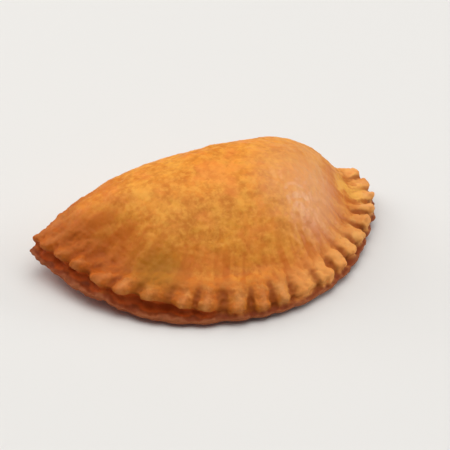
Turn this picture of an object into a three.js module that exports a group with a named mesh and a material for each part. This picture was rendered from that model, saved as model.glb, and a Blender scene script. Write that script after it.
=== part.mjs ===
// A small beef empanada: a disc of dough folded over its filling into a half-moon and baked golden brown,
// with its two sheets sealed in a crimped edge. It lies on its flat base. Millimetres, +Z up. X runs from
// tip to tip, the crimped edge faces -Y and the folded side +Y. The origin is on the table, under the middle.
import * as THREE from "three";

// Plan, seen from above
const HALF_LENGTH = 41.4; // half the distance between the two tips
const FRONT_REACH = 39.2; // from the line between the tips to the crimped edge
const FRONT_POINT = 1.25; // 1 makes the front half an ellipse, more than 1 draws its two ends in
const RIGHT_POINT = 0.95; // the same at the right tip, which is blunt
const BLUNT_FROM = 0.8; // share of the half length from which it is
const FOLD_BULGE = 9.5; // from the line between the tips to the folded side
const FOLD_CURVE = 2.2; // 2 makes the folded side a parabola, more keeps it straighter in the middle
const FLAP_STEP = 7; // at the right tip the crimped edge ends in a flap that stands this far past the fold
const FLAP_CORNER = 0.25; // less squares the back corner of that flap
const CROWN = new THREE.Vector2(6, -8); // the top of the dome, where the section lines meet

// The dome of filling, from its crown out to where it meets the band
const DOME_HEIGHT = 22.4;
const DOME_LEFT = 45;
const DOME_RIGHT = 29.5;
const DOME_FRONT = 23;
const DOME_BACK = 20; // past the folded side, which cuts it off
const DOME_FULL = 2.9; // how flat the top of the dome is towards the front
const DOME_FLAT = 2.35; // towards the fold
const DOME_LONG = 2.7; // and towards the two tips
const DOME_CORNER = 0.7; // how square its two back corners are
const DOME_SOFT_FRONT = 0.5; // how softly it runs out at the front
const FRONTWARD = 0.6; // a direction this far turned from the tips to the front counts as the front
const DOME_FULL_BACK = 0.25; // and how squarely it stands at the fold
const FOLD_WIDEST = 9.5; // height at which the folded side reaches furthest back
const FOLD_ROUND = 9; // how far in the folded side starts to round over
const LEFT_THINS = [0.65, 1]; // shares of the half length over which the folded side thins to the left tip
const RIGHT_THINS = [0.3, 0.85]; // and to the right one
const RIGHT_THIN = 0.5; // how much of the way it does so before the flap, where it does the rest
const LUMP = 0.22; // unevenness of the filling under the dough
const LUMP_LENGTH = 28; // from one lump to the next
const LUMP_SHIFT = 4.5; // moves them all to the left
const DIMPLE = new THREE.Vector3(-27.5, -13, 2.2); // a hollow near the left tip: where it is and how deep
const DIMPLE_RADIUS = 9;

// The two sheets of dough at the edge
const SHEET = 2.1;
const LOWER_SHEET = 1.6;
const SEAM_FRONT = 2.7; // height of the line between the two sheets, in the middle of the front
const SEAM_LEFT = 7; // the same line at the raised left tip
const SEAM_RIGHT = 3.8; // and at the right tip
const CRACK = 0.3; // the sheets stand apart by this all along
const SEAM_DEPTH = 1.8; // the line between them lies this far in
const MOUTH = [-0.5, 1.5, 6, 9.5]; // teeth from the left tip: there the sheets part, fully, still, and meet
const PINCH = 4.3; // the tooth where one crimp almost holds them together
const PINCH_WIDTH = 1;
const PINCH_HOLD = 0.7; // 1 would hold them right together
const GAP = 1.5; // how much further apart they are in that mouth
const MOUTH_DEPTH = 1.4; // how much deeper it goes
const MOUTH_FLOOR = 0.35; // its inner end lies lower than the middle, by this share of the gap
const LOWER_LIP = 0.9; // there the lower sheet stands out past the outline by this
const UPPER_BACK = 0.2; // and the upper one lies back inside it by this
const BASE_INSET = 9; // from the outline in to the flat base

// The crimps
const TEETH = 21;
const BAND_FRONT = 8; // width of the crimped band in the middle of the front
const BAND_LEFT = 6;
const BAND_RIGHT = 9.5;
const TOOTH_DEPTH = 2; // how far a tooth stands out past the notch beside it
const FLUTE_FRONT = 1.2; // ridge above groove at the edge, in the middle of the front
const FLUTE_LEFT = 1.7;
const FLUTE_RIGHT = 1;
const FLUTE_LENGTH = 4.8; // over which it fades out inwards
const FLUTE_UNEVEN = 0.6; // how much the grooves differ in length
const RIDGE_ROUND = 0.6; // less makes the ridges rounder and the grooves between them sharper
const RIDGE_LEVEL = 0.75; // share of a ridge that lies below the plain band
const TOOTH_UNEVEN = 0.3; // how much the teeth differ in height
const TOOTH_WANDER = 0.22; // and in place, in tooth widths
const TOOTH_BACK = 0.6; // some teeth end short of the outline, by up to this
const TOOTH_LIFT = 0.4; // and some lie higher or lower, by up to this
const RIM_FRONT = -2.6; // how far the band rises from the foot of the dome to the edge: here it falls
const RIM_LEFT = 0.8;
const RIM_RIGHT = 0.3;
const BAND_SWELL = 0.3; // the band swells by this halfway
const TIPWARD = 3.5; // sizes with values for the tips change near them only, the more so the larger this is
const GROOVE_SCALLOP = 0.7; // how far the line between the sheets follows the teeth in and out
const LOWER_SCALLOP = 0.35; // and the lower sheet

// Stations are the places on the outline where a section is laid, and rows are the rings that run round it.
const PER_TOOTH = 8;
const FLAP_STATIONS = 4;
const FOLD_STATIONS = 42;
const FRONT_STATIONS = TEETH * PER_TOOTH;
const FOLD_CRIMP_START = 0.86; // where on the folded side the crimps of the left tip start
const STATIONS = FLAP_STATIONS + FOLD_STATIONS + FRONT_STATIONS;

const { cos, sin, PI, abs, pow, sqrt, hypot, min, max } = Math;
const { lerp, smoothstep, degToRad } = THREE.MathUtils;
const RIGHT_ANGLE = PI / 2;

// A fixed pseudo-random number between -1 and 1 for each whole number.
function jitter(whole, salt) {
  const wave = sin(whole * 12.9898 + salt * 78.233) * 43758.5453;
  return 2 * (wave - Math.floor(wave)) - 1;
}

// The same, eased from one whole number to the next.
function drift(x, salt) {
  const whole = Math.floor(x);
  return lerp(jitter(whole, salt), jitter(whole + 1, salt), smoothstep(x - whole, 0, 1));
}

// The plan outline: the end of the flap at the right tip, the fold to the left tip, then the crimped front.
function outline(index) {
  const foldStart = HALF_LENGTH - FLAP_STEP;
  const foldY = (x) => FOLD_BULGE * (1 - pow(abs(x) / HALF_LENGTH, FOLD_CURVE));
  if (index < FLAP_STATIONS) {
    const share = index / FLAP_STATIONS;
    const y = foldY(foldStart) * pow(share, FLAP_CORNER);
    const point = new THREE.Vector2(HALF_LENGTH - FLAP_STEP * share, y);
    return { point, crimped: 1 - smoothstep(share, 0.1, 1), teeth: TEETH + share };
  }
  if (index < FLAP_STATIONS + FOLD_STATIONS) {
    const share = (index - FLAP_STATIONS) / FOLD_STATIONS;
    const x = lerp(foldStart, -HALF_LENGTH, 0.5 - 0.5 * cos(PI * share));
    const crimped = smoothstep(share, FOLD_CRIMP_START, 1);
    return { point: new THREE.Vector2(x, foldY(x)), crimped, teeth: 0 };
  }
  const share = (index - FLAP_STATIONS - FOLD_STATIONS) / FRONT_STATIONS;
  const x = -HALF_LENGTH * cos(PI * share);
  const pointed = lerp(FRONT_POINT, RIGHT_POINT, smoothstep(x / HALF_LENGTH, BLUNT_FROM, 1));
  const y = -FRONT_REACH * pow(sin(PI * share), pointed);
  return { point: new THREE.Vector2(x, y), crimped: 1, teeth: TEETH * share };
}

// A value that has one size in the middle of the front and others at the two tips, reached mostly near them.
function along(side, middle, left, right) {
  return lerp(middle, side < 0 ? left : right, pow(abs(side), TIPWARD));
}

// Everything that the sections need to know about one station.
function stationAt(index) {
  const { point, crimped, teeth } = outline(index);
  const inward = CROWN.clone().sub(point);
  const reach = inward.length();
  inward.divideScalar(reach);
  const side = point.x / HALF_LENGTH; // -1 at the left tip, 1 at the right
  // How far the folded section has thinned down to that of the tips: 0 in the middle, 1 at a tip.
  const flapward = max(1 - index / FLAP_STATIONS, 0);
  const rightward = lerp(RIGHT_THIN * smoothstep(side, ...RIGHT_THINS), 1, flapward);
  const tipward = side < 0 ? smoothstep(-side, ...LEFT_THINS) : rightward;
  // The ridge of a tooth, 1 on top and about 0 in the groove beside it.
  const wave = abs(cos(PI * (teeth + TOOTH_WANDER * drift(teeth, 3))));
  const ridge = 1 - (1 + TOOTH_UNEVEN * drift(teeth, 7)) * (1 - pow(wave, RIDGE_ROUND));
  // How far the sheets part: 1 in the mouth left of the middle, less where one crimp holds them together.
  const mouth = smoothstep(teeth, MOUTH[0], MOUTH[1]) * (1 - smoothstep(teeth, MOUTH[2], MOUTH[3]));
  const pinch = PINCH_HOLD * (1 - smoothstep(abs(teeth - PINCH), 0, PINCH_WIDTH));
  const opening = mouth * (1 - pinch);
  const gap = CRACK + GAP * opening;
  const seam = along(side, SEAM_FRONT, SEAM_LEFT, SEAM_RIGHT);
  const band = along(side, BAND_FRONT, BAND_LEFT, BAND_RIGHT);
  const flutes = along(side, FLUTE_FRONT, FLUTE_LEFT, FLUTE_RIGHT);
  const fluteLength = FLUTE_LENGTH * (1 + FLUTE_UNEVEN * drift(teeth + 0.5, 11));
  const rimRise = along(side, RIM_FRONT, RIM_LEFT, RIM_RIGHT);
  const foot = seam + SHEET + gap / 2 - rimRise;
  const widest = lerp(FOLD_WIDEST, seam, tipward);
  const round = lerp(FOLD_ROUND, SHEET, tipward);
  const lowerLip = LOWER_LIP * mouth * smoothstep(teeth, 0, PINCH);
  const toothBack = TOOTH_BACK * crimped * (0.5 + 0.5 * drift(teeth, 19));
  const toothLift = TOOTH_LIFT * drift(teeth, 23) * max(ridge, 0);
  const upperBack = UPPER_BACK * opening + toothBack;
  const depth = SEAM_DEPTH + MOUTH_DEPTH * opening;
  const floor = seam - MOUTH_FLOOR * gap * opening;
  const lips = { gap, seam, lowerLip, upperBack, depth, floor };
  const crimps = { crimped, ridge, toothLift, flutes, fluteLength, rimRise, band, foot };
  return { point, inward, reach, widest, round, ...lips, ...crimps };
}

// The plan point of a section, inset mm in from the outline.
function planPoint(station, inset) {
  return station.point.clone().addScaledVector(station.inward, inset);
}

// A gentle unevenness, between about -1.5 and 1.5.
function lumps(spot) {
  const turn = (2 * PI) / LUMP_LENGTH;
  const broad = sin(turn * (spot.x + LUMP_SHIFT)) * cos(turn * spot.y);
  const fine = sin(2 * turn * (spot.x - spot.y));
  return broad + fine / 2;
}

// Height of the dome over a section, inset mm in from the outline. Share is 0 at the crown, 1 at the foot.
function domeHeight(station, inset) {
  const spot = planPoint(station, inset);
  const x = abs(spot.x - CROWN.x) / (spot.x < CROWN.x ? DOME_LEFT : DOME_RIGHT);
  const ridgeY = CROWN.y * (1 - min(x * x, 1)); // the top of the dome bends back towards the tips
  const y = (spot.y - ridgeY) / (spot.y < ridgeY ? DOME_FRONT : DOME_BACK);
  const across = y / max(hypot(x, y), 1e-6); // -1 straight to the front, 1 straight to the fold, 0 to a tip
  const corner = 2 + DOME_CORNER * pow(max(across, 0), 2);
  const share = min(pow(pow(x, corner) + pow(abs(y), corner), 1 / corner), 1);
  const flat = lerp(DOME_LONG, across < 0 ? DOME_FULL : DOME_FLAT, abs(across));
  const away = hypot(spot.x - DIMPLE.x, spot.y - DIMPLE.y) / DIMPLE_RADIUS;
  const hollow = DIMPLE.z * (1 - smoothstep(away, 0, 1));
  const fullBack = DOME_FULL_BACK * pow(max(across, 0), 2);
  const soft = 1 + DOME_SOFT_FRONT * smoothstep(-across, 0, FRONTWARD) - fullBack;
  const rise = pow(1 - pow(share, flat), soft);
  return lerp(station.foot, DOME_HEIGHT, rise) + LUMP * lumps(spot) * rise - hollow;
}

// The folded side, which has no band: the dome rounds over to its widest point.
function foldHeight(station, inset) {
  const short = 1 - min(inset / station.round, 1);
  return station.widest + (domeHeight(station, inset) - station.widest) * sqrt(1 - short * short);
}

// Height of the pressed ridges, inset mm in from the edge.
function flute(station, inset) {
  const height = station.flutes * (station.ridge - RIDGE_LEVEL) + station.toothLift;
  return height * (1 - smoothstep(inset, 1, station.fluteLength));
}

// The top of the crimped band. Share is 0 at the edge and 1 at the foot of the dome.
function band(station, share) {
  const edge = station.upperBack + SHEET / 2 + TOOTH_DEPTH * (1 - station.ridge);
  const inset = lerp(edge, station.band, share);
  const swell = BAND_SWELL * sin(PI * share);
  const rise = station.rimRise * (1 - share);
  return { inset, height: domeHeight(station, inset) + swell + rise + flute(station, inset) };
}

// One sheet's rounded lip at the crimped edge. Angle 90 degrees is its top and -90 its bottom.
function lip(station, angle, upper) {
  const radius = (upper ? SHEET : LOWER_SHEET) / 2;
  const scallop = TOOTH_DEPTH * (1 - station.ridge) * (upper ? 1 : LOWER_SCALLOP);
  const inset = radius * (1 - cos(angle)) + scallop + (upper ? station.upperBack : -station.lowerLip);
  const middle = station.seam + (upper ? 1 : -1) * (radius + station.gap / 2);
  const lift = upper ? flute(station, 0) * (1 + sin(angle)) / 2 : 0;
  return { inset, height: middle + radius * sin(angle) + lift };
}

// A row is a ring of points, every so many stations, at one place of the crimped and of the folded section.
const rows = [];
function addRow(every, crimpedPlace, foldedPlace) {
  rows.push({ every, crimpedPlace, foldedPlace });
}

// Rows over the dome
const DOME_STEPS = [0.12, 0.25, 0.37, 0.48, 0.57, 0.65, 0.72, 0.78, 0.83, 0.88, 0.92, 0.96];
DOME_STEPS.forEach((share) => {
  const every = share < 0.2 ? 8 : share < 0.5 ? 4 : share < 0.8 ? 2 : 1; // fewer points on the short rows
  const crimpedPlace = (station) => {
    const inset = lerp(station.reach, station.band, share);
    return { inset, height: domeHeight(station, inset) + flute(station, inset) };
  };
  const foldedPlace = (station) => {
    const inset = lerp(station.reach, FOLD_ROUND, share);
    return { inset, height: foldHeight(station, inset) };
  };
  addRow(every, crimpedPlace, foldedPlace);
});

// Rows from the foot of the dome out to the line between the sheets
const BAND_ROWS = 4;
const LIP_ANGLES = [90, 45, 0, -50];
const OUTER_ROWS = BAND_ROWS + LIP_ANGLES.length;
const roundedEdge = (step) => (station) => {
  const inset = FOLD_ROUND * (1 - sin((step / OUTER_ROWS) * RIGHT_ANGLE));
  return { inset, height: foldHeight(station, inset) };
};
for (let i = 0; i < BAND_ROWS; i++) addRow(1, (station) => band(station, 1 - i / BAND_ROWS), roundedEdge(i));
LIP_ANGLES.forEach((degrees, i) => {
  addRow(1, (station) => lip(station, degToRad(degrees), true), roundedEdge(BAND_ROWS + i));
});
const groove = (station) => {
  const scallop = TOOTH_DEPTH * (1 - station.ridge) * GROOVE_SCALLOP;
  return { inset: station.upperBack + station.depth + scallop, height: station.floor };
};
addRow(1, groove, roundedEdge(OUTER_ROWS));

// Rows under the lower sheet, down to the flat base
const BELLY_ROWS = 4;
const UNDER_ROWS = LIP_ANGLES.length + BELLY_ROWS;
const undercut = (step) => (station) => {
  const angle = (step / UNDER_ROWS) * RIGHT_ANGLE;
  return { inset: BASE_INSET * (1 - cos(angle)), height: station.widest * (1 - sin(angle)) };
};
LIP_ANGLES.reverse().forEach((degrees, i) => {
  addRow(1, (station) => lip(station, degToRad(-degrees), false), undercut(i + 1));
});
for (let i = 1; i <= BELLY_ROWS; i++) {
  const share = i / BELLY_ROWS;
  const belly = (station) => {
    const lowest = station.seam - station.gap / 2 - LOWER_SHEET;
    const inset = lerp(LOWER_SHEET / 2 - station.lowerLip, BASE_INSET, share);
    return { inset, height: lowest * (1 - sin(share * RIGHT_ANGLE)) };
  };
  addRow(i < 2 ? 1 : 2, belly, undercut(LIP_ANGLES.length + i));
}

// The point of a row at a station: the crimped section, the folded one, or between them near the tips.
function place(row, station) {
  const crimped = row.crimpedPlace(station);
  const folded = row.foldedPlace(station);
  const spot = planPoint(station, lerp(folded.inset, crimped.inset, station.crimped));
  return new THREE.Vector3(spot.x, spot.y, lerp(folded.height, crimped.height, station.crimped));
}

function buildCrust() {
  const stations = Array.from({ length: STATIONS }, (_, index) => stationAt(index));
  const points = [];
  const faces = [];
  const add = (point) => points.push(point) - 1;
  const crown = add(new THREE.Vector3(CROWN.x, CROWN.y, domeHeight(stations[0], stations[0].reach)));
  const rings = rows.map((row) => {
    const used = stations.filter((_, i) => i % row.every === 0);
    return used.map((station) => add(place(row, station)));
  });
  // The flat base: two smaller copies of the last ring round a middle point.
  const middlePoint = new THREE.Vector3(CROWN.x, CROWN.y, 0);
  const rim = rings[rings.length - 1].map((i) => points[i]);
  [[2 / 3, 2], [1 / 3, 4]].forEach(([share, every]) => {
    const kept = rim.filter((_, i) => i % every === 0);
    rings.push(kept.map((point) => add(middlePoint.clone().lerp(point, share))));
  });
  const middle = add(middlePoint);
  rings[0].forEach((a, i) => faces.push(crown, a, rings[0][(i + 1) % rings[0].length]));
  for (let i = 1; i < rings.length; i++) stitch(faces, rings[i - 1], rings[i]);
  const last = rings[rings.length - 1];
  last.forEach((a, i) => faces.push(middle, last[(i + 1) % last.length], a));
  const geometry = new THREE.BufferGeometry().setFromPoints(points);
  geometry.setIndex(faces);
  geometry.computeVertexNormals();
  return geometry;
}

// Joins a ring to the next one outwards, which may hold more points or fewer.
function stitch(faces, upper, lower) {
  let u = 0;
  let l = 0;
  const at = (ring, i) => ring[i % ring.length];
  while (u < upper.length || l < lower.length) {
    const lowerNext = (l + 0.5) / lower.length <= (u + 0.5) / upper.length;
    if (l < lower.length && (lowerNext || u === upper.length)) {
      faces.push(at(upper, u), at(lower, l), at(lower, l + 1));
      l++;
    } else {
      faces.push(at(upper, u), at(lower, l), at(upper, u + 1));
      u++;
    }
  }
}

const crust = new THREE.Mesh(
  buildCrust(),
  new THREE.MeshStandardMaterial({ color: 0xd98a3d, roughness: 0.55, metalness: 0 }),
);
crust.name = "crust";
const box = new THREE.Box3().setFromObject(crust);
const centre = box.getCenter(new THREE.Vector3());
crust.position.set(-centre.x, -centre.y, 0);

const empanada = new THREE.Group();
empanada.name = "empanada";
empanada.add(crust);
export default empanada;
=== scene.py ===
import math

import bpy
import numpy as np
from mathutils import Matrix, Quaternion, Vector
from mathutils.bvhtree import BVHTree


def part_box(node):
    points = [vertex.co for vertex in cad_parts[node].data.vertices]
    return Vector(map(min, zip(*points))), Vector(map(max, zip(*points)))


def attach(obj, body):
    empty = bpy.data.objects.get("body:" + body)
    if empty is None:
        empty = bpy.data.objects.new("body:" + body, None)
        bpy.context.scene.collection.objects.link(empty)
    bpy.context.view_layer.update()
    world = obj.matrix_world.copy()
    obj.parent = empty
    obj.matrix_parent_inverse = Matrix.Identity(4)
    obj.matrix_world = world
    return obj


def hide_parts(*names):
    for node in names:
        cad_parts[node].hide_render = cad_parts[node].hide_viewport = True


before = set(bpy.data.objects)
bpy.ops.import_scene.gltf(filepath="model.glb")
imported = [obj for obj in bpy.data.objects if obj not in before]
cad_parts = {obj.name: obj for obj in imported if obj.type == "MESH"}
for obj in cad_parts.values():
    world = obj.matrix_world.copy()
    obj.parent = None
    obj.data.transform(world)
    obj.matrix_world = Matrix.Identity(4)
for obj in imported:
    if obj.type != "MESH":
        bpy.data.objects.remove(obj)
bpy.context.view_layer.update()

# The pastry: a disc of short dough folded over a spoon of minced beef and baked. Its skin is glazed with egg,
# finely blistered, and creased where the dough was drawn down to the crimps. The two sheets part at the left
# front, where the filling has browned in the gap.
MM = 0.001
WELD = 0.001 * MM  # points of the solid that are nearer than this are one
VOXEL = 0.34 * MM
ROUNDING = 8  # rounds of smoothing that take the last facets away

bpy.ops.object.select_all(action="DESELECT")
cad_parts["crust"].select_set(True)
bpy.context.view_layer.objects.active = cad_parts["crust"]
bpy.ops.object.duplicate()
pastry = bpy.context.active_object
pastry.name = pastry.data.name = "pastry"
bpy.ops.object.mode_set(mode="EDIT")
bpy.ops.mesh.select_all(action="SELECT")
bpy.ops.mesh.remove_doubles(threshold=WELD)
bpy.ops.object.mode_set(mode="OBJECT")


def finish_with(kind, **settings):
    """Adds one modifier to the pastry and applies it."""
    modifier = pastry.modifiers.new(kind.title(), kind)
    for name, value in settings.items():
        setattr(modifier, name, value)
    bpy.ops.object.modifier_apply(modifier=modifier.name)


# The facets of the solid are rounded off, and the skin gets an even net of small faces.
finish_with("SUBSURF", levels=2, render_levels=2)
finish_with("REMESH", mode="VOXEL", voxel_size=VOXEL)
finish_with("SMOOTH", factor=0.5, iterations=ROUNDING)

mesh = pastry.data


def points_of(name, items, width):
    """What each item of a list in the mesh has under a name, in rows of this many numbers."""
    values = np.empty(len(items) * width, np.float32)
    items.foreach_get(name, values)
    return values.reshape(-1, width).astype(float)


# Where each point lies. Its share is 0 at the crown and 1 at the rim. Its turn is counted from the middle of
# the folded side, anticlockwise as seen from above: 0.25 is the left, 0.5 the front and 0.75 the right.
CROWN = Vector((6 * MM, 7 * MM))  # the top of the dome, in plan
FOLD_SIDE = math.pi / 2  # the direction of the folded side as seen from the crown
SLICES = 360  # of a full turn round the crown
place = points_of("co", mesh.vertices, 3)
around = np.arctan2(place[:, 1] - CROWN.y, place[:, 0] - CROWN.x)
around = (around - FOLD_SIDE) % (2 * math.pi) / (2 * math.pi)
reach = np.hypot(place[:, 0] - CROWN.x, place[:, 1] - CROWN.y)
slice_of = np.minimum((around * SLICES).astype(int), SLICES - 1)
rim_reach = np.zeros(SLICES)
np.maximum.at(rim_reach, slice_of, reach)
share = reach / rim_reach[slice_of]
top_side = points_of("normal", mesh.vertices, 3)[:, 2] > 0

# A map that runs round the crown and outwards, for noise that is drawn out towards the rim.
SQUEEZE = 0.05  # noise on it runs this much slower outwards than round, so it forms creases
sweep = mesh.uv_layers.new(name="sweep")
corners = np.empty(len(mesh.loops), np.int32)
mesh.loops.foreach_get("vertex_index", corners)
flow = np.stack([around, SQUEEZE * share], axis=1)[corners]
sweep.data.foreach_set("uv", flow.astype(np.float32).ravel())


def share_group(name, weights):
    """A vertex group with a weight for each point, in steps of a hundredth."""
    group = pastry.vertex_groups.new(name=name)
    steps = np.round(weights, 2)
    for step in np.unique(steps[steps > 0]):
        members = np.nonzero(steps == step)[0]
        group.add(members.tolist(), float(step), "REPLACE")


def ease(values, low, high):
    """0 below low, 1 above high, and a smooth step between them."""
    steps = np.clip((values - low) / (high - low), 0, 1)
    return steps * steps * (3 - 2 * steps)


# Where the relief of the skin lies: creases down to the crimps, crumples on the crimps, blisters everywhere but
# on the base, which stays flat. A swing is the part of a turn from the middle of the front, either way.
CREASES_START, CREASES_FULL, CREASES_END = 0.58, 0.82, 0.97  # shares
CREASES_OUT, CREASES_IN = 0.36, 0.24  # swings
BAND_START, BAND_FULL = 0.74, 0.88  # shares: the crimped band
CRIMPS_OUT, CRIMPS_IN = 0.33, 0.27  # swings
RELIEF_START, RELIEF_FULL = 0.3 * MM, 2.5 * MM  # heights
swing = np.abs(around - 0.5)
skirt = ease(share, CREASES_START, CREASES_FULL) * ease(share, CREASES_END, CREASES_FULL)
share_group("skirt", skirt * ease(swing, CREASES_OUT, CREASES_IN) * top_side)
crimped = ease(swing, CRIMPS_OUT, CRIMPS_IN)
off_base = ease(place[:, 2], RELIEF_START, RELIEF_FULL)
share_group("crimps", ease(share, BAND_START, BAND_FULL) * crimped * off_base)
share_group("skin", off_base)

# The relief itself. A level is the noise value that stays in place: lower ones sink, higher ones rise.
CREASES = 70  # round the whole rim, though they only show above the crimps
CREASE_SIZE, CREASE_DEPTH = 2 / CREASES, 0.55 * MM  # the size is a share of a turn
DENT_SIZE, DENT_DEPTH = 7 * MM, 0.5 * MM
CRUMPLE_SIZE, CRUMPLE_DEPTH = 3.2 * MM, 1.1 * MM
PINCH_SIZE, PINCH_DEPTH = 1.5 * MM, 0.6 * MM
BLISTER_SIZE, BLISTER_DEPTH = 2.0 * MM, 0.36 * MM
GRAIN_SIZE, GRAIN_DEPTH = 0.8 * MM, 0.16 * MM
HOLLOW_LEVEL, CRIMP_LEVEL, BLISTER_LEVEL = 0.62, 0.55, 0.6


def relief(name, size, depth, group, level, **mapping):
    """Presses a fixed noise into the pastry's skin."""
    noise = bpy.data.textures.new(name, "CLOUDS")
    noise.noise_scale = size
    finish_with("DISPLACE", texture=noise, strength=depth, mid_level=level, vertex_group=group, **mapping)


on_sweep = {"texture_coords": "UV", "uv_layer": "sweep"}
relief("creases", CREASE_SIZE, CREASE_DEPTH, "skirt", HOLLOW_LEVEL, **on_sweep)
relief("dents", DENT_SIZE, DENT_DEPTH, "skin", HOLLOW_LEVEL)
relief("crumples", CRUMPLE_SIZE, CRUMPLE_DEPTH, "crimps", CRIMP_LEVEL)
relief("pinches", PINCH_SIZE, PINCH_DEPTH, "crimps", CRIMP_LEVEL)
relief("blisters", BLISTER_SIZE, BLISTER_DEPTH, "skin", BLISTER_LEVEL)
relief("grain", GRAIN_SIZE, GRAIN_DEPTH, "skin", BLISTER_LEVEL)
pastry.vertex_groups.clear()

# How far each point stands above or below the smoothed surface, for painted shade in the hollows and a painted
# highlight on ridges.
FINE_ROUNDS, BROAD_ROUNDS = 12, 160  # of smoothing
FINE_RELIEF, BROAD_RELIEF = 0.12 * MM, 0.9 * MM  # what counts as a full ridge
place = points_of("co", mesh.vertices, 3)
outward = points_of("normal", mesh.vertices, 3)
edges = np.empty(len(mesh.edges) * 2, np.int32)
mesh.edges.foreach_get("vertices", edges)
one_end, other_end = edges[0::2], edges[1::2]
count = len(place)
neighbours = np.bincount(one_end, minlength=count) + np.bincount(other_end, minlength=count)


def smoothed(points, rounds):
    """The points after moving each half way to the middle of its neighbours, a number of times."""
    for _ in range(rounds):
        sums = [
            np.bincount(one_end, weights=points[other_end, axis], minlength=count)
            + np.bincount(other_end, weights=points[one_end, axis], minlength=count)
            for axis in range(points.shape[1])
        ]
        points = 0.5 * points + 0.5 * np.stack(sums, axis=1) / neighbours[:, None]
    return points


def keep(name, values):
    """Stores one value for each point, for the material."""
    layer = mesh.attributes.new(name, "FLOAT", "POINT")
    layer.data.foreach_set("value", values.astype(np.float32))


for name, rounds, full in (("fine", FINE_ROUNDS, FINE_RELIEF), ("broad", BROAD_ROUNDS, BROAD_RELIEF)):
    height = ((place - smoothed(place, rounds)) * outward).sum(axis=1) / full
    keep(name, np.clip(height, -1, 1))

# The line between the two sheets, by its heights at the middle of the front and at the tips, and what lies
# below it.
HALF_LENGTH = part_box("crust")[1][0]
SEAM_FRONT, SEAM_LEFT, SEAM_RIGHT = 2.7 * MM, 7 * MM, 3.8 * MM
SEAM_BEND = 3.5  # it rises mostly near the tips, the more so the larger this is
LOWER_START, LOWER_FULL = -0.2 * MM, 0.5 * MM  # how far below the line the lower sheet's colour sets in
seam_tip = np.where(place[:, 0] < 0, SEAM_LEFT, SEAM_RIGHT)
seam = SEAM_FRONT + (seam_tip - SEAM_FRONT) * np.abs(place[:, 0] / HALF_LENGTH) ** SEAM_BEND
keep("lower", ease(seam - place[:, 2], LOWER_START, LOWER_FULL) * crimped)

# Where the upper sheet of dough hangs over a point: straight up from it, within the height of the gap.
GAP_LOW, GAP_HIGH = 0.4 * MM, SEAM_LEFT + 2 * MM  # the gap between the sheets lies within these heights
GAP_START = 0.79  # share: and outside this
OVERHANG_REACH = 4.5 * MM  # and it is less high than this
RAY_START = 0.2 * MM  # how far off the surface a ray starts
GAP_ROUNDS = 8  # of smoothing, for the edge of the gap's colour
MOUTH_START, MOUTH_FULL, MOUTH_FADES, MOUTH_END = 0.2, 0.24, 0.38, 0.48  # turns: where the sheets part
solid = BVHTree.FromObject(pastry, bpy.context.evaluated_depsgraph_get())
under = np.zeros((count, 1))
near_gap = (place[:, 2] > GAP_LOW) & (place[:, 2] < GAP_HIGH) & (share > GAP_START)
for index in np.nonzero(near_gap)[0]:
    start = Vector(place[index] + RAY_START * outward[index])
    if solid.ray_cast(start, Vector((0, 0, 1)), OVERHANG_REACH)[0]:
        under[index] = 1
mouth = ease(around, MOUTH_START, MOUTH_FULL) * ease(around, MOUTH_END, MOUTH_FADES)
keep("under", smoothed(under, GAP_ROUNDS)[:, 0] * mouth)

# The crimped band and the strip of dome just above it.
FOOT_START, FOOT_FULL, FOOT_FADES, FOOT_END = 0.55, 0.72, 0.8, 0.92  # shares: the strip
keep("rim", ease(share, BAND_START, BAND_FULL) * crimped)
keep("foot", ease(share, FOOT_START, FOOT_FULL) * ease(share, FOOT_END, FOOT_FADES) * crimped)

# The grooves between the crimps run inwards from each notch in the edge of the upper sheet. Below 0 is a ridge.
GROOVES_START, GROOVES_FULL = 0.79, 0.93  # shares
TOOTH_SLICES = 9  # the edge is evened out over this many
NOTCH_DEPTH = 1.0 * MM  # a notch this much deeper than the evened edge counts as a full one
upper_edge = np.zeros(SLICES)
upper = place[:, 2] > seam
np.maximum.at(upper_edge, slice_of[upper], reach[upper])
wrapped = np.concatenate([upper_edge[-TOOTH_SLICES:], upper_edge, upper_edge[:TOOTH_SLICES]])
evened = np.convolve(wrapped, np.ones(TOOTH_SLICES) / TOOTH_SLICES, mode="same")
notches = (evened[TOOTH_SLICES:-TOOTH_SLICES] - upper_edge) / NOTCH_DEPTH
notch = np.interp(around * SLICES - 0.5, np.arange(SLICES), notches, period=SLICES)
keep("groove", np.clip(notch, -1, 1) * ease(share, GROOVES_START, GROOVES_FULL) * crimped)

bpy.ops.object.shade_smooth()


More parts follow.
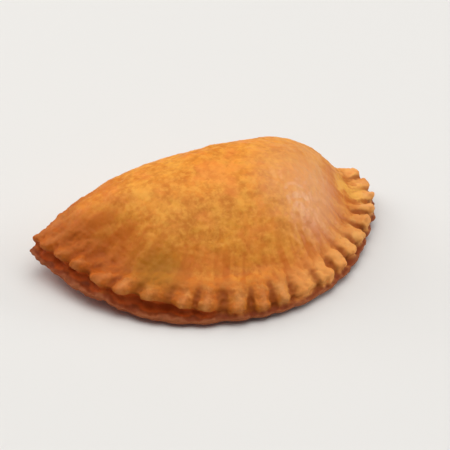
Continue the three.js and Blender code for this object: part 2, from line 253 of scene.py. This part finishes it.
class Shade:
    """A socket of a material, used like a number in sums."""

    def __init__(self, tree, socket=None):
        self.tree = tree
        self.socket = socket

    def node(self, kind, settings=None, inputs=None, output=0):
        """Adds a node of a kind, with its settings and the values or links of its sockets."""
        made = self.tree.nodes.new(kind)
        for name, value in (settings or {}).items():
            setattr(made, name, value)
        for name, value in (inputs or {}).items():
            if isinstance(value, Shade):
                self.tree.links.new(value.socket, made.inputs[name])
            else:
                made.inputs[name].default_value = value
        return Shade(self.tree, made.outputs[output])

    def maths(self, operation, first, second):
        """Adds a Math node on two values."""
        return self.node("ShaderNodeMath", {"operation": operation}, {0: first, 1: second})

    def __add__(self, other):
        return self.maths("ADD", self, other)

    def __radd__(self, other):
        return self.maths("ADD", other, self)

    def __sub__(self, other):
        return self.maths("SUBTRACT", self, other)

    def __rsub__(self, other):
        return self.maths("SUBTRACT", other, self)

    def __mul__(self, other):
        return self.maths("MULTIPLY", self, other)

    def __rmul__(self, other):
        return self.maths("MULTIPLY", other, self)

    def ramp(self, start, full):
        """0 where this value is at start or before it, 1 at full or past it, and eased between them."""
        settings = {"interpolation_type": "SMOOTHSTEP"}
        return self.node("ShaderNodeMapRange", settings, {"Value": self, "From Min": start, "From Max": full})

    def tint(self, base, other):
        """Base where this value is 0 and the other colour where it is 1."""
        return self.node("ShaderNodeMix", {"data_type": "RGBA"}, {0: self, 6: base, 7: other}, 2)


GOLD = (0.80, 0.275, 0.025, 1)  # glazed dough, well baked
HONEY = (0.86, 0.40, 0.06, 1)  # where the glaze is thinner, and on the blisters
BLUSH = (0.84, 0.24, 0.045, 1)  # rosier blotches
RUSSET_AND_PAINTED_SHADE = (0.56, 0.135, 0.010, 1)  # redder, browner patches, and painted shade in small hollows and creases
OCHRE = (0.37, 0.14, 0.003, 1)  # a yellower patch above the crimps at the left front
TOAST = (0.54, 0.155, 0.014, 1)  # darker flecks
TAN = (0.72, 0.31, 0.08, 1)  # the right half, paler
CHESTNUT_AND_PAINTED_SHADE = (0.44, 0.085, 0.003, 1)  # the left end, baked the most, and painted shade in the hollows of the crimps and by the left tip
CARAMEL_AND_PAINTED_SHADE = (0.26, 0.05, 0.003, 1)  # dark specks, and painted shade in the grooves between the crimps and in the broad hollows
JUICE_AND_PAINTED_SHADE = (0.47, 0.078, 0.008, 1)  # meat juice baked into the gap, with painted shade under the upper sheet
EDGE = (0.48, 0.13, 0.006, 1)  # the crimps
PALE_EDGE = (0.78, 0.37, 0.10, 1)  # the crimps of the right end, which stayed pale
PAINTED_LIGHT_APRICOT = (0.88, 0.36, 0.09, 1)  # painted light on the crimps at the right front
BARE_AND_PAINTED_SHADE = (0.22, 0.038, 0.007, 1)  # the lower sheet, soaked with juice and not glazed, darkened further as painted shade
PAINTED_LIP_HIGHLIGHT = (0.36, 0.110, 0.040, 1)  # a painted highlight along its outer edge
BUTTER = (0.87, 0.45, 0.08, 1)  # the flat strip by the right tip, baked the least
PAINTED_SHEEN_ROSE = (0.80, 0.37, 0.14, 1)  # a painted sheen: on the right shoulder, where the egg wash lies thickest, and on the ridges of the crimps
DULLNESS, FLECK_DULLNESS, RIM_DULLNESS = 0.5, 0.12, 0.2  # roughness, and what flecks and the rim add to it
BAKED_IOR = 1.24  # baked dough throws back less light than a smooth solid
WASH, THICK_WASH, WASH_DULLNESS = 0.06, 0.85, 0.36  # the coat of egg, what glaze adds, its roughness
GLOW, GLOW_DEPTH, GLOW_COLOURS = 0.12, 1.2 * MM, (1.0, 0.45, 0.2)  # light that passes through the crust

crust = bpy.data.materials.new("baked crust")
crust.use_nodes = True
crust.node_tree.nodes.remove(crust.node_tree.nodes["Principled BSDF"])
here = Shade(crust.node_tree)
spot = here.node("ShaderNodeTexCoord", output="Object")
fine, broad, under, rim, foot, lower, groove = (
    here.node("ShaderNodeAttribute", {"attribute_name": name}, output="Fac")
    for name in ("fine", "broad", "under", "rim", "foot", "lower", "groove")
)
across = here.node("ShaderNodeSeparateXYZ", inputs={0: spot})


def mottle(size, detail, roughness, seed, start, full):
    """Patches of about a size: 0 where a soft noise is below start and 1 where it is above full."""
    settings = {"noise_dimensions": "4D"}
    inputs = {"Vector": spot, "W": seed, "Scale": 1 / size, "Detail": detail, "Roughness": roughness}
    return here.node("ShaderNodeTexNoise", settings, inputs).ramp(start, full)


patches = mottle(9 * MM, 2, 0.5, 2.0, 0.36, 0.66)
clouds = mottle(5 * MM, 3, 0.55, 3.0, 0.38, 0.68)
flecks = mottle(2.4 * MM, 3, 0.6, 5.0, 0.36, 0.66)
specks = mottle(1.2 * MM, 2, 0.6, 7.0, 0.38, 0.68)
blush = mottle(6 * MM, 2, 0.5, 13.0, 0.5, 0.66)
scorch = mottle(3 * MM, 3, 0.6, 11.0, 0.46, 0.6)
sweep_place = here.node("ShaderNodeUVMap", {"uv_map": "sweep"})
# Streaks that run out towards the rim, for painted shade in the creases.
streak_inputs = {"Vector": sweep_place, "Scale": CREASES, "Detail": 1.0, "Roughness": 0.5}
painted_crease_shade = here.node("ShaderNodeTexNoise", {}, streak_inputs).ramp(0.42, 0.62)
left_end = across.ramp(-25 * MM, -38 * MM)
left_half = across.ramp(-4 * MM, -30 * MM)
right_half = across.ramp(0.0, 26 * MM)
right_end = across.ramp(-4 * MM, 26 * MM)


def near(x, y, z, edge, core):
    """1 within core of a place and 0 from edge on, all in millimetres."""
    inputs = {0: spot, 1: (x * MM, y * MM, z * MM)}
    distance = here.node("ShaderNodeVectorMath", {"operation": "DISTANCE"}, inputs, 1)
    return distance.ramp(edge * MM, core * MM)


hollow = near(-28, 1, 8, 11.5, 3)  # beside the left tip: browning and painted shade in the hollow
glaze_and_painted_sheen = near(18.5, -2, 16.5, 17, 3)  # on the right shoulder, where the egg wash lies thickest: more coat, and a painted sheen
yellow = near(-20.5, -7, 7, 9, 2)  # above the crimps at the left front
painted_light_right_front = near(16, -19, 4, 17, 8)  # painted light on the crimps at the right front
flap = near(31.5, 6.5, 5.5, 7.5, 3)  # the flat strip between the dome and the crimps of the right tip

# The dome: blotches from large to small, the paler right half, and what lies in one place only.
colour = (0.6 * patches).tint(GOLD, HONEY)
colour = (0.55 * clouds).tint(colour, RUSSET_AND_PAINTED_SHADE)
colour = (0.65 * flecks).tint(colour, TOAST)
colour = (0.55 * specks).tint(colour, HONEY)
colour = (0.4 * blush).tint(colour, BLUSH)
colour = (0.35 * right_half).tint(colour, TAN)
# Painted shade in the small hollows of the skin.
colour = (0.6 * fine.ramp(-0.1, -0.9)).tint(colour, RUSSET_AND_PAINTED_SHADE)
# Along the foot of the dome: a darker strip, with streaks of painted shade in the creases.
colour = (foot * (0.3 + 0.55 * painted_crease_shade)).tint(colour, RUSSET_AND_PAINTED_SHADE)
# A painted sheen where the egg wash lies thickest.
colour = (0.34 * glaze_and_painted_sheen).tint(colour, PAINTED_SHEEN_ROSE)
# Browning and painted shade in the hollow beside the left tip.
colour = (0.6 * hollow).tint(colour, CHESTNUT_AND_PAINTED_SHADE)

# The crimps, paler towards the right, with a painted highlight on their ridges and painted shade in their
# hollows and grooves.
edge = right_end.tint(EDGE, PALE_EDGE)
edge = (clouds * (0.8 - 0.45 * right_end)).tint(edge, CHESTNUT_AND_PAINTED_SHADE)
edge = (0.6 * left_half).tint(edge, CHESTNUT_AND_PAINTED_SHADE)
edge = (0.5 * flecks).tint(edge, PALE_EDGE)
edge = (scorch * (0.6 - 0.15 * right_end)).tint(edge, RUSSET_AND_PAINTED_SHADE)
edge = (specks * (0.5 - 0.5 * right_end)).tint(edge, CARAMEL_AND_PAINTED_SHADE)
# Painted light on the crimps at the right front.
edge = (0.5 * painted_light_right_front).tint(edge, PAINTED_LIGHT_APRICOT)
# A painted highlight on the ridges of the crimps.
edge = (groove.ramp(-0.1, -0.7) * (0.4 + 0.3 * right_end)).tint(edge, PAINTED_SHEEN_ROSE)
# Painted shade in the hollows of the crimps.
edge = (0.5 * broad.ramp(0.1, -0.5)).tint(edge, CHESTNUT_AND_PAINTED_SHADE)
# Painted shade in the grooves between the crimps.
edge = (0.9 * groove.ramp(-0.15, 0.6)).tint(edge, CARAMEL_AND_PAINTED_SHADE)
edge = (0.5 * left_end * flecks).tint(edge, CARAMEL_AND_PAINTED_SHADE)

# Both together, then the left end, the patches by the crimps, the lower sheet and the gap.
colour = (0.9 * rim).tint(colour, edge)
colour = (left_end * (0.45 + 0.4 * clouds)).tint(colour, CHESTNUT_AND_PAINTED_SHADE)
colour = (0.75 * yellow).tint(colour, OCHRE)
colour = (0.7 * flap * (1 - scorch)).tint(colour, BUTTER)
# Painted shade in the broad hollows.
colour = (0.4 * broad.ramp(0.0, -0.9)).tint(colour, CARAMEL_AND_PAINTED_SHADE)
# The lower sheet: its own darker colour, deepened as painted shade, with a painted highlight along its outer
# edge.
lower_sheet_and_painted_light = (0.85 * broad.ramp(-0.1, 0.7) * (1 - 0.6 * clouds)).tint(BARE_AND_PAINTED_SHADE, PAINTED_LIP_HIGHLIGHT)
colour = (0.95 * lower).tint(colour, lower_sheet_and_painted_light)
# Juice in the gap, with painted shade under the upper sheet.
colour = (0.95 * under.ramp(0.2, 0.9)).tint(colour, JUICE_AND_PAINTED_SHADE)

surface = here.node(
    "ShaderNodeBsdfPrincipled",
    {},
    {
        "Base Color": colour,
        "Roughness": DULLNESS + FLECK_DULLNESS * flecks + RIM_DULLNESS * rim,
        "IOR": BAKED_IOR,
        "Coat Weight": WASH + THICK_WASH * glaze_and_painted_sheen,
        "Coat Roughness": WASH_DULLNESS,
        "Subsurface Weight": GLOW,
        "Subsurface Radius": GLOW_COLOURS,
        "Subsurface Scale": GLOW_DEPTH,
    },
)
crust.node_tree.links.new(surface.socket, crust.node_tree.nodes["Material Output"].inputs["Surface"])
mesh.materials.clear()
mesh.materials.append(crust)
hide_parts("crust")
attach(pastry, "root")

# The table under it: a plain, flat board with matt pale paint, far wider than the picture shows. It isn't part
# of the food.
TABLE_WIDTH = 3.0
TABLE_COLOUR, TABLE_DULLNESS = (0.72, 0.71, 0.69, 1), 0.7
bpy.ops.mesh.primitive_plane_add(size=TABLE_WIDTH, location=(0, 0, 0))
table = bpy.context.active_object
table.name = "table"
paint = bpy.data.materials.new("pale table")
paint.use_nodes = True
paint.node_tree.nodes["Principled BSDF"].inputs["Base Color"].default_value = TABLE_COLOUR
paint.node_tree.nodes["Principled BSDF"].inputs["Roughness"].default_value = TABLE_DULLNESS
table.data.materials.append(paint)

# The light: soft daylight from a wide window straight above, a small one beside the right tip, which puts the
# sheen on the shoulder, and one behind on the left, for the folded side. The room adds a faint, even light.
ROOM_COLOUR, ROOM_STRENGTH = (0.92, 0.95, 1.0, 1), 0.22


def window(name, place, size, power, colour):
    """A square lamp that faces the pastry."""
    bpy.ops.object.light_add(type="AREA", location=place)
    lamp = bpy.context.active_object
    lamp.name = name
    lamp.rotation_euler = (-Vector(place)).to_track_quat("-Z", "Y").to_euler()
    lamp.data.size = size
    lamp.data.energy = power
    lamp.data.color = colour


window("window above", (0.03, 0.0, 0.94), 1.3, 10.5, (1.0, 0.98, 0.95))
window("window beside", (0.83, -0.2, 0.32), 0.35, 2.0, (0.96, 0.97, 1.0))
window("window behind", (-0.5, 0.75, 0.5), 0.6, 3.8, (1.0, 0.98, 0.96))
room = bpy.data.worlds.new("room")
room.use_nodes = True
room.node_tree.nodes["Background"].inputs["Color"].default_value = ROOM_COLOUR
room.node_tree.nodes["Background"].inputs["Strength"].default_value = ROOM_STRENGTH
bpy.context.scene.world = room
bpy.context.scene.view_settings.view_transform = "Standard"

# The camera: at the photograph's viewing angle, aimed at the middle of the pastry through a long lens.
CAMERA_PLACE = Vector((-0.333, -0.651, 0.498))
AIM = Vector((0, 0.001, 0.0095))
FILL = 0.80  # share of the picture's width that the pastry takes up
WIDTH_SEEN = 0.0795  # width of the pastry as the camera sees it
TILT = 1.75  # the picture was taken with the camera turned by this many degrees
SENSOR = 36  # width in mm
NEAREST = 0.05  # nothing nearer than this is drawn
bpy.ops.object.camera_add(location=CAMERA_PLACE)
camera = bpy.context.active_object
turn = (AIM - CAMERA_PLACE).to_track_quat("-Z", "Y") @ Quaternion((0, 0, 1), math.radians(TILT))
camera.rotation_euler = turn.to_euler()
camera.data.sensor_width = SENSOR
camera.data.lens = SENSOR * FILL * (AIM - CAMERA_PLACE).length / WIDTH_SEEN
camera.data.clip_start = NEAREST
bpy.context.scene.camera = camera
